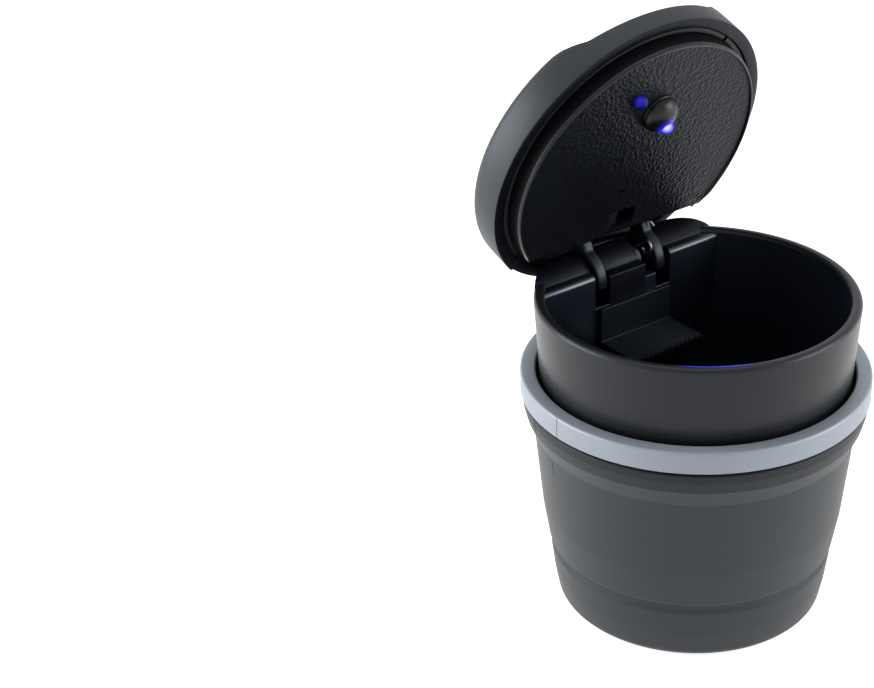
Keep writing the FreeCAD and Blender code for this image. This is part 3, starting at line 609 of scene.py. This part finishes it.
def springTree():
    floatKind = "NodeSocketFloat"
    tree, given, result = nodeTree("springCoil", [("Turns", floatKind, 3.5),
                                                  ("Coil Radius", floatKind, 0.0027),
                                                  ("Length", floatKind, 0.002),
                                                  ("Wire Radius", floatKind, 0.00035)])
    add, link = tree.nodes.new, tree.links.new
    coil = add("GeometryNodeCurveSpiral")
    coil.inputs["Resolution"].default_value = 40
    wire = add("GeometryNodeCurvePrimitiveCircle")
    wire.inputs["Resolution"].default_value = 12
    skin = add("GeometryNodeCurveToMesh")
    skin.inputs["Fill Caps"].default_value = True
    real = add("GeometryNodeRealizeInstances")
    paint = add("GeometryNodeSetMaterial")
    paint.inputs["Material"].default_value = springPaint
    link(given.outputs["Turns"], coil.inputs["Rotations"])
    link(given.outputs["Coil Radius"], coil.inputs["Start Radius"])
    link(given.outputs["Coil Radius"], coil.inputs["End Radius"])
    link(given.outputs["Length"], coil.inputs["Height"])
    link(given.outputs["Wire Radius"], wire.inputs["Radius"])
    link(coil.outputs["Curve"], skin.inputs["Curve"])
    link(wire.outputs["Curve"], skin.inputs["Profile Curve"])
    link(skin.outputs["Mesh"], real.inputs["Geometry"])
    link(real.outputs["Geometry"], paint.inputs["Geometry"])
    link(paint.outputs["Geometry"], result.inputs["Geometry"])
    return tree


coilValues = {"Turns": spring["turns"], "Coil Radius": spring["coil"] * mm, "Length": spring["length"] * mm,
              "Wire Radius": spring["wire"] * mm}
coilStart = Vector((spring["start"], hinge["y"], hinge["z"])) * mm
coilTurn = Matrix.Translation(coilStart) @ Matrix.Rotation(pi / 2, 4, "Y")
coilPiece = grown("springCoil", springTree(), coilValues, coilTurn)
place(coilPiece, "base_unit", "torsion_spring", "steel", springPaint)


def wireAlong(name, path, radius, sides=12):
    # round wire along a path of points
    points = []
    across = None
    for index, point in enumerate(path):
        before, after = path[max(index - 1, 0)], path[min(index + 1, len(path) - 1)]
        ahead = (Vector(after) - Vector(before)).normalized()
        across = ahead.orthogonal() if across is None else across - ahead * across.dot(ahead)
        across.normalize()
        other = ahead.cross(across)
        for step in range(sides):
            angle = 2 * pi * step / sides
            points.append(Vector(point) + (across * cos(angle) + other * sin(angle)) * radius)
    return finishMesh(name, rawMesh(name, points, columnFaces(len(path), sides, closedRound=False)))


legX = spring["start"] + spring["length"]
legStart = Vector((legX, hinge["y"], hinge["z"] + spring["coil"]))
legDirection = Vector((0, -cos(radians(spring["rise"])), sin(radians(spring["rise"]))))
legPath = [legStart + legDirection * spring["leg"] * step / 8 for step in range(9)]
curlMiddle = legPath[-1] + Vector((0, 0, -spring["curl"]))
legPath += [curlMiddle + Vector((0, -sin(radians(angle)), cos(radians(angle)))) * spring["curl"]
            for angle in range(15, 241, 15)]
legPiece = wireAlong("springLeg", legPath, spring["wire"])
place(legPiece, "base_unit", "torsion_spring", "steel", springPaint)
tailPiece = wireAlong("springTail", [openTurn @ Vector(point) for point in spring["tail"]], spring["wire"])
place(tailPiece, "lid", "lid_liner", "steel", springPaint)
print("shelf, pin and spring done")

# lid shell, drawn shut and turned open
lid = {"radius": 37.4, "inner": 34.6, "bottom": 78.35, "top": 88.1, "ceiling": 81.6, "round": 2.8,
       "edge": [(0.4, 0), (0.1, 0.12), (0, 0.4)], "backCut": 25.2, "backBottom": 80.9,
       "scoopStart": 13.0, "scoopDrop": 4.9, "scoopNear": 15.0, "scoopFloor": 17.4, "scoopMouth": 29.3,
       "scoopSide": 0.3, "rings": 28, "ringStep": 1.2, "shade": 0.5, "margin": 0.1, "down": -0.6}


def scoopDepth(x, y):
    # a ramp to the front edge whose sloping sides open out towards the mouth
    run = max(0.0, (-y - lid["scoopStart"]) / (lid["radius"] - lid["scoopStart"]))
    floorHalf = lid["scoopNear"] + (lid["scoopFloor"] - lid["scoopNear"]) * run
    topHalf = lid["scoopNear"] + lid["scoopSide"] + (lid["scoopMouth"] - lid["scoopNear"]) * run
    return lid["scoopDrop"] * run * min(1.0, max(0.0, (topHalf - abs(x)) / (topHalf - floorHalf)))


def lidShell():
    nick = 1e-4  # radians either side of the step in the lower edge
    cutAngle = acos(lid["backCut"] / lid["radius"])  # measured from +Y
    cuts = {turn + shift for turn in (cutAngle, 2 * pi - cutAngle) for shift in (-nick, nick)}
    angles = sorted({2 * pi * step / 288 for step in range(288)} | cuts)
    outerTop = [(lid["radius"] - lid["round"] * (1 - cos(step * pi / 16)),
                 lid["top"] - lid["round"] * (1 - sin(step * pi / 16))) for step in range(9)]
    flat = lid["radius"] - lid["round"]
    outerTop += [(flat - lid["ringStep"] * step, lid["top"]) for step in range(1, lid["rings"] + 1)]
    outerTop.append((0, lid["top"]))
    sides = [(radius, height, True) for radius, height in outerTop]
    points = []
    rows = 0
    for angle in angles:
        bottom = lid["backBottom"] if min(angle, 2 * pi - angle) < cutAngle else lid["bottom"]
        column = [(lid["radius"] - inset, bottom + rise) for inset, rise in lid["edge"]]
        under = [(0, lid["ceiling"]), (lid["inner"], lid["ceiling"])]
        under += [(lid["inner"] + inset, bottom + rise) for inset, rise in reversed(lid["edge"])]
        whole = [(*point, False) for point in column] + sides + [(*point, False) for point in under]
        rows = len(whole)
        for radius, height, sunk in whole:
            x, y = radius * sin(angle), radius * cos(angle)
            points.append((x, y, min(height, lid["top"] - scoopDepth(x, y)) if sunk else height))
    return finishMesh("lidShell", rawMesh("lidShell", points, columnFaces(len(angles), rows), openTurn))


lidPiece = lidShell()
shutTurn = openTurn.inverted()
for face in lidPiece.data.polygons:
    # the hollow under the lid and its downward faces get darker paints: painted shade
    spot = shutTurn @ (face.center / mm)
    facingDown = (shutTurn.to_3x3() @ face.normal).z < lid["down"]
    above = spot.z > lid["bottom"] + lid["shade"]
    inHollow = (Vector(spot[:2]).length < lid["inner"] + lid["margin"] and above
                and spot.z < lid["ceiling"] + lid["margin"])
    face.material_index = 1 if (facingDown and above) or inHollow else 2 if facingDown else 0
place(lidPiece, "lid", "lid_shell", "lid_plastic", lidPaint, wallShadePaint, barrelShadePaint)

# liner: grained plate with a rounded bead, chord-cut at the hinge
liner = {"radius": 33.1, "bottom": 75.25, "back": 20.6, "top": 81.5, "skin": 1.6, "bead": 0.5, "fade": 0.12,
         "beadWide": 1.3, "beadHigh": 0.25, "flat": 0.01, "down": -0.9}
pockets = {"recess": {"left": -3.8, "right": 3.8, "near": 13.5, "far": 18.5, "below": 2.0, "above": 3.0},
           "mark": {"left": -3.4, "right": -1.8, "near": 6.6, "far": 7.4, "below": 1.0, "above": 0.6}}
tongue = {"side": [(-3.8, 75.3), (-0.2, 76.5), (-0.2, 77.1), (-3.8, 77.1)], "near": 13.9, "far": 18.9}


def linerPlug():
    corner = acos(liner["back"] / liner["radius"])
    angles = sorted({2 * pi * step / 240 for step in range(240)} | {corner, 2 * pi - corner})
    edge, inner = liner["bottom"], liner["bottom"] + liner["skin"]
    toMiddle = -99  # more than the radius, so the point lands on the axis
    # inset from the edge, height, and how much of the bead is added there
    section = [(toMiddle, edge, 0), (-6.0, edge, 0), (-0.95, edge, 0), (-0.85, edge, 0.3),
               (-0.7, edge, 0.85), (-0.5, edge, 1), (-0.3, edge + 0.02, 0.9), (-0.12, edge + 0.12, 0.6),
               (0, edge + 0.4, 0), (0, liner["top"], 0), (-liner["skin"], liner["top"], 0),
               (-liner["skin"], inner, 0), (toMiddle, inner, 0)]
    points = []
    for angle in angles:
        toBack = cos(angle)
        radius = liner["radius"] if toBack <= 0 else min(liner["radius"], liner["back"] / toBack)
        # no bead along the straight edge at the hinge
        bead = liner["bead"] * smooth(corner, corner + liner["fade"], min(angle, 2 * pi - angle))
        for inset, height, share in section:
            reach = max(0.0, radius + inset)
            points.append((reach * sin(angle), reach * cos(angle), height - bead * share))
    thing = finishMesh("linerPlug", rawMesh("linerPlug", points, columnFaces(len(angles), len(section))))
    for name, pocket in pockets.items():
        corners = [(pocket["left"], pocket["near"]), (pocket["right"], pocket["near"]),
                   (pocket["right"], pocket["far"]), (pocket["left"], pocket["far"])]
        cutWith(thing, prism(name, corners, edge - pocket["below"], edge + pocket["above"], "z"))
    for face in thing.data.polygons:
        # grain on the plate, a smooth bead round it, and painted shade: a near-black paint on the rest
        spot = face.center / mm
        plate = abs(spot.z - edge) < liner["flat"] and face.normal.z < liner["down"]
        outer = Vector(spot[:2]).length > liner["radius"] - liner["beadWide"]
        bead = outer and spot.z < edge + liner["beadHigh"]
        face.material_index = 0 if plate else 1 if bead else 2
    return swingOpen(thing)


linerPiece = linerPlug()
place(linerPiece, "lid", "lid_liner", "liner_plastic", grainPaint, beadPaint, wallShadePaint)
tonguePiece = prism("recessTongue", tongue["side"], tongue["near"], tongue["far"], "y", openTurn)
# the tongue takes the same painted-highlight paint, so that it reads lighter
place(tonguePiece, "lid", "lid_liner", "liner_plastic", ledgeHighlightPaint)

# the two hinge arms
arms = {"inner": 7.5, "outer": 10.1, "reach": 7.5, "hub": 3.4, "tail": 77, "neckTop": 79.5,
        "neckStart": 19.5, "root": 0.1, "round": 0.35}
hubArc = [(hinge["y"] + arms["hub"] * sin(radians(angle)), hinge["z"] + arms["hub"] * cos(radians(angle)))
          for angle in range(0, 181, 10)]
sectorArc = [(hinge["y"] - arms["reach"] * cos(radians(angle)),
              hinge["z"] - arms["reach"] * sin(radians(angle))) for angle in range(arms["tail"], -1, -7)]
armRoot = liner["bottom"] + arms["root"]
armOutline = ([(arms["neckStart"], armRoot), (arms["neckStart"], arms["neckTop"])] + hubArc + sectorArc
              + [(liner["back"], armRoot)])
for side, label in ((-1, "Left"), (1, "Right")):
    ends = sorted((side * arms["inner"], side * arms["outer"]))
    armPiece = prism("arm" + label, armOutline, *ends, "x", openTurn, bevel=arms["round"])
    # the arms take the painted-shade copy of the cup paint
    place(armPiece, "lid", "lid_liner", "liner_plastic", insideShadePaint)

# rubber strip with its split; end, split and gap are angles in degrees
seal = {"inner": 33.2, "outer": 34.5, "low": 79.0, "high": 80.6, "round": 0.3, "end": 52.0, "split": 143.5,
        "gap": 1.0, "stepsPerDegree": 1.2}


def sealStrip(name, first, last):
    points = []
    steps = max(8, int((last - first) * seal["stepsPerDegree"]))
    section = roundedPath([(seal["inner"], seal["low"], seal["round"]),
                           (seal["outer"], seal["low"], seal["round"]),
                           (seal["outer"], seal["high"]), (seal["inner"], seal["high"])], 3)
    for step in range(steps + 1):
        angle = radians(first + (last - first) * step / steps)
        points += [(radius * sin(angle), radius * cos(angle), height) for radius, height in section]
    faces = columnFaces(steps + 1, len(section), closedRound=False)
    return finishMesh(name, rawMesh(name, points, faces, openTurn))


for label, first, last in (("Right", seal["end"], seal["split"] - seal["gap"]),
                           ("Left", seal["split"] + seal["gap"], 360 - seal["end"])):
    place(sealStrip("seal" + label, first, last), "lid", "lid_seal", "seal_rubber", rubberPaint)
print("lid shell, liner and seal done")

# silver trim and the handle on the lid's top
trim = {"base": 88.12, "thick": 1.2, "round": 0.4,
        "left": [(-13.5, 31.5), (-17.6, 17), (-19.6, 5), (-20.0, -9), (-22.0, -18.5), (-17.4, -22.5),
                 (-16.6, -16), (-16.2, -6), (-15.6, 8), (-13.4, 24.5)]}
handle = {"half": 13.4, "front": -18, "upright": 0.1, "corner": 5.0, "edge": 0.9,
          "side": [(20.5, 0), (18.5, 2.0), (6, 4.3), (-6, 5.6), (-12, 5.1), (-18, 4.0), (-18, 1.8),
                   (-12.5, 0)]}
trimOutline = trim["left"] + [(-x, y) for x, y in reversed(trim["left"])]
trimPiece = prism("trimBand", trimOutline, trim["base"], trim["base"] + trim["thick"], "z", openTurn,
                  bevel=trim["round"])
place(trimPiece, "lid", "lid_trim", "silver_plastic", silverPaint)


def handleCorner(first, last):
    # the two upright edges of the handle's front
    onFront = all(abs(end.y - handle["front"]) < tiny for end in (first, last))
    return onFront and abs(first.z - last.z) > handle["upright"]


def thumbHandle():
    outline = [(y, trim["base"] + rise) for y, rise in handle["side"]]
    thing = prism("thumbHandle", outline, -handle["half"], handle["half"], "x")
    roundChosen(thing, handleCorner, handle["corner"], 8)
    roundEdges(thing, handle["edge"], 4, 35)
    return swingOpen(thing)


place(thumbHandle(), "lid", "thumb_handle", "lid_plastic", lidPaint)

# light: hood and two bulbs under the plate, brightest where the photograph shows it
plateFace = liner["bottom"]
shine = openTurn @ Vector((1.9, -12.9, 72.0))
hood = {"middle": (1.6, -14.7), "radius": 4.5, "rise": 3.6, "flange": 4.6, "foot": 0.5, "round": 0.15}
bulb = {"radius": 1.8, "collar": 1.9, "collarLow": 1.65, "collarTop": 2.6,
        "middle": {"near": (2.7, -12.1), "far": (-5.7, -20.1)}, "proud": {"near": 2.2, "far": 0.3},
        "farLit": Vector((-0.60, -0.65, 0.47))}  # the way to the far bulb's bright side
hoodFoot = plateFace - hood["foot"]
hoodProfile = [(0, plateFace), (hood["flange"], plateFace), (hood["flange"], hoodFoot + hood["round"]),
               (hood["flange"] - hood["round"], hoodFoot)]
hoodProfile += [(hood["radius"] * cos(step * pi / 24),
                 hoodFoot - (hood["rise"] - hood["foot"]) * sin(step * pi / 24)) for step in range(13)]
hoodPiece = turned("ledHood", hoodProfile, openTurn, 64, hood["middle"])
# the hood's blue glow round the near bulb is painted light: the bulb's light on the hood, put into the
# hood's emission
place(hoodPiece, "lid", "led_hood", "hood_plastic", surface("hoodGlowPaint", hoodGlowLook, tip=shine))
for label, node, look in (("near", "led_near", brightBulbLook), ("far", "led_far", dimBulbLook)):
    middle = bulb["middle"][label]
    bulbTop = plateFace - bulb["proud"][label]
    collarLow, collarTop = plateFace + bulb["collarLow"], plateFace + bulb["collarTop"]
    bulbProfile = [(0, collarTop), (bulb["collar"], collarTop), (bulb["collar"], collarLow),
                   (bulb["radius"], collarLow)]
    bulbProfile += arcPoints((0, bulbTop), bulb["radius"], 0, -pi / 2, 12)
    bulbPiece = turned(label + "Bulb", bulbProfile, openTurn, 48, middle)
    ownTip = openTurn @ Vector((*middle, bulbTop)) + bulb["farLit"] * bulb["radius"]
    tip = shine if label == "near" else ownTip
    place(bulbPiece, "lid", node, "blue_light", surface(label + "BulbPaint", look, tip=tip))
print("trim, handle and light done")

# hidden pieces keep their plain shape and only get a surface
for node, paint in (("circuit_board", boardPaint), ("coin_cell", steelPaint)):
    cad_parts[node].data.materials.clear()
    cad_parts[node].data.materials.append(paint)

# floor, world and studio lights; the floor and the boxes are in metres, the beam in millimetres
studio = {"room": 0.3, "backdrop": 0.6, "turn": (-0.3, 0.6), "floor": 0.82, "floorRough": 0.8,
          "floorGlow": 0.8, "floorSize": 6, "floorDrop": 0.0002, "aim": (0, 0, 0.07)}
boxes = {"leftBox": {"power": 3.7, "right": -0.6, "back": 0.08, "up": 0.2, "size": 0.4},
         "rightBox": {"power": 2.8, "right": 0.6, "back": 0.05, "up": 0.22, "size": 0.4},
         "topBox": {"power": 0.8, "right": 0, "back": -0.1, "up": 0.8, "size": 0.6}}
beam = {"from": (1, -5, 72), "to": (-14, -31, 77.5), "radius": 8.0, "power": 0.03, "spread": 75,
        "colour": (0.05, 0.06, 1.0)}


def cameraWhite(nodes, link, plain, white):
    # white for what is seen straight, mirrored or through glass; the plain shader lights the part
    rays = nodes.new("ShaderNodeLightPath")
    mirrored = nodes.new("ShaderNodeMath")
    seen = nodes.new("ShaderNodeMath")
    mix = nodes.new("ShaderNodeMixShader")
    for step in (mirrored, seen):
        step.operation = "MAXIMUM"
    link(rays.outputs["Is Camera Ray"], mirrored.inputs[0])
    link(rays.outputs["Is Glossy Ray"], mirrored.inputs[1])
    link(mirrored.outputs["Value"], seen.inputs[0])
    link(rays.outputs["Is Transmission Ray"], seen.inputs[1])
    link(seen.outputs["Value"], mix.inputs["Fac"])
    link(plain, mix.inputs[1])
    link(white, mix.inputs[2])
    return mix.outputs["Shader"]


def whiteFloor():
    bpy.ops.mesh.primitive_plane_add(size=studio["floorSize"], location=(0, 0, -studio["floorDrop"]))
    floor = bpy.context.object
    floor.name = "floor"
    material = bpy.data.materials.new("floorPaint")
    material.use_nodes = True
    nodes, link = material.node_tree.nodes, material.node_tree.links.new
    white = nodes.new("ShaderNodeEmission")
    white.inputs["Color"].default_value = (1, 1, 1, 1)
    shader = nodes["Principled BSDF"]
    shader.inputs["Base Color"].default_value = (studio["floor"],) * 3 + (1,)
    shader.inputs["Roughness"].default_value = studio["floorRough"]
    white.inputs["Strength"].default_value = studio["floorGlow"]
    both = nodes.new("ShaderNodeAddShader")  # the lit floor on top keeps the shadow
    link(white.outputs["Emission"], both.inputs[0])
    link(shader.outputs["BSDF"], both.inputs[1])
    result = cameraWhite(nodes, link, shader.outputs["BSDF"], both.outputs["Shader"])
    link(result, nodes["Material Output"].inputs["Surface"])
    floor.data.materials.append(material)


def whiteWorld(back):
    # bright backdrop behind the part, dim room on the camera's side
    world = bpy.data.worlds.new("studio")
    bpy.context.scene.world = world
    world.use_nodes = True
    nodes, link = world.node_tree.nodes, world.node_tree.links.new
    where = nodes.new("ShaderNodeTexCoord")
    facing = nodes.new("ShaderNodeVectorMath")
    facing.operation = "DOT_PRODUCT"
    facing.inputs[1].default_value = Vector((-back.x, -back.y, 0)).normalized()
    level = nodes.new("ShaderNodeMapRange")
    level.interpolation_type = "SMOOTHSTEP"
    level.inputs["From Min"].default_value = studio["turn"][0]
    level.inputs["From Max"].default_value = studio["turn"][1]
    level.inputs["To Min"].default_value = studio["room"]
    level.inputs["To Max"].default_value = studio["backdrop"]
    sky = nodes["Background"]
    link(where.outputs["Generated"], facing.inputs[0])
    link(facing.outputs["Value"], level.inputs["Value"])
    sky.inputs["Color"].default_value = (1, 1, 1, 1)
    link(level.outputs["Result"], sky.inputs["Strength"])
    white = nodes.new("ShaderNodeBackground")
    white.inputs["Color"].default_value = (1, 1, 1, 1)
    result = cameraWhite(nodes, link, sky.outputs["Background"], white.outputs["Background"])
    link(result, nodes["World Output"].inputs["Surface"])


def hung(name, lamp, spot, target):
    holder = linked(name, lamp)
    holder.location = spot
    holder.rotation_euler = (target - spot).to_track_quat("-Z", "Y").to_euler()
    return holder


def softBox(name, box, spot):
    lamp = bpy.data.lights.new(name, "AREA")
    lamp.shape = "RECTANGLE"
    lamp.size = lamp.size_y = box["size"]
    lamp.energy = box["power"]
    hung(name, lamp, spot, Vector(studio["aim"]))


def bulbBeam():
    # the bulb's blue shine on the front lip, from inside the cup so that it is hidden when shut
    lamp = bpy.data.lights.new("bulbBeam", "SPOT")
    lamp.spot_size = radians(beam["spread"])
    lamp.spot_blend = 1
    lamp.shadow_soft_size = beam["radius"] * mm
    lamp.energy = beam["power"]
    lamp.color = beam["colour"]
    holder = hung("bulbBeam", lamp, Vector(beam["from"]) * mm, Vector(beam["to"]) * mm)
    holder.visible_camera = False


# angles in degrees, distances in millimetres, the focal length and picture places in pixels
camera = {"focal": 2082.0, "elevation": 28.5, "azimuth": -42.7, "roll": 1.79, "distance": 480.0,
          "target": (0, 0, 59.6), "seen": (694.8, 364.1), "middle": (437.0, 344.0), "width": 874,
          "sensor": 36.0, "nearest": 10.0}


def setCamera():
    tilt, around = radians(camera["elevation"]), radians(camera["azimuth"])
    back = Vector((sin(around) * cos(tilt), -cos(around) * cos(tilt), sin(tilt)))
    right = Vector((cos(around), sin(around), 0))
    axes = Matrix((right, back.cross(right), back))
    axes = Matrix.Rotation(-radians(camera["roll"]), 3, "Z") @ axes
    wanted = Vector(((camera["seen"][0] - camera["middle"][0]) / camera["focal"],
                     (camera["middle"][1] - camera["seen"][1]) / camera["focal"], -1)).normalized()
    ahead = Vector((0, 0, -1))
    bend = ahead.cross(wanted)
    axes = Matrix.Rotation(asin(bend.length), 3, bend.normalized()) @ axes
    lens = bpy.data.cameras.new("camera")
    lens.sensor_fit = "HORIZONTAL"
    lens.sensor_width = camera["sensor"]
    lens.lens = camera["focal"] * camera["sensor"] / camera["width"]
    lens.clip_start = camera["nearest"] * mm
    view = linked("camera", lens)
    spot = (Vector(camera["target"]) + back * camera["distance"]) * mm
    view.matrix_world = Matrix.Translation(spot) @ axes.transposed().to_4x4()
    bpy.context.scene.camera = view
    return right, back


whiteFloor()
right, back = setCamera()
whiteWorld(back)
up = Vector((0, 0, 1))
for name, box in boxes.items():
    softBox(name, box, right * box["right"] + back * box["back"] + up * box["up"])
bulbBeam()
bpy.context.scene.view_settings.view_transform = "Standard"
print("stage set")
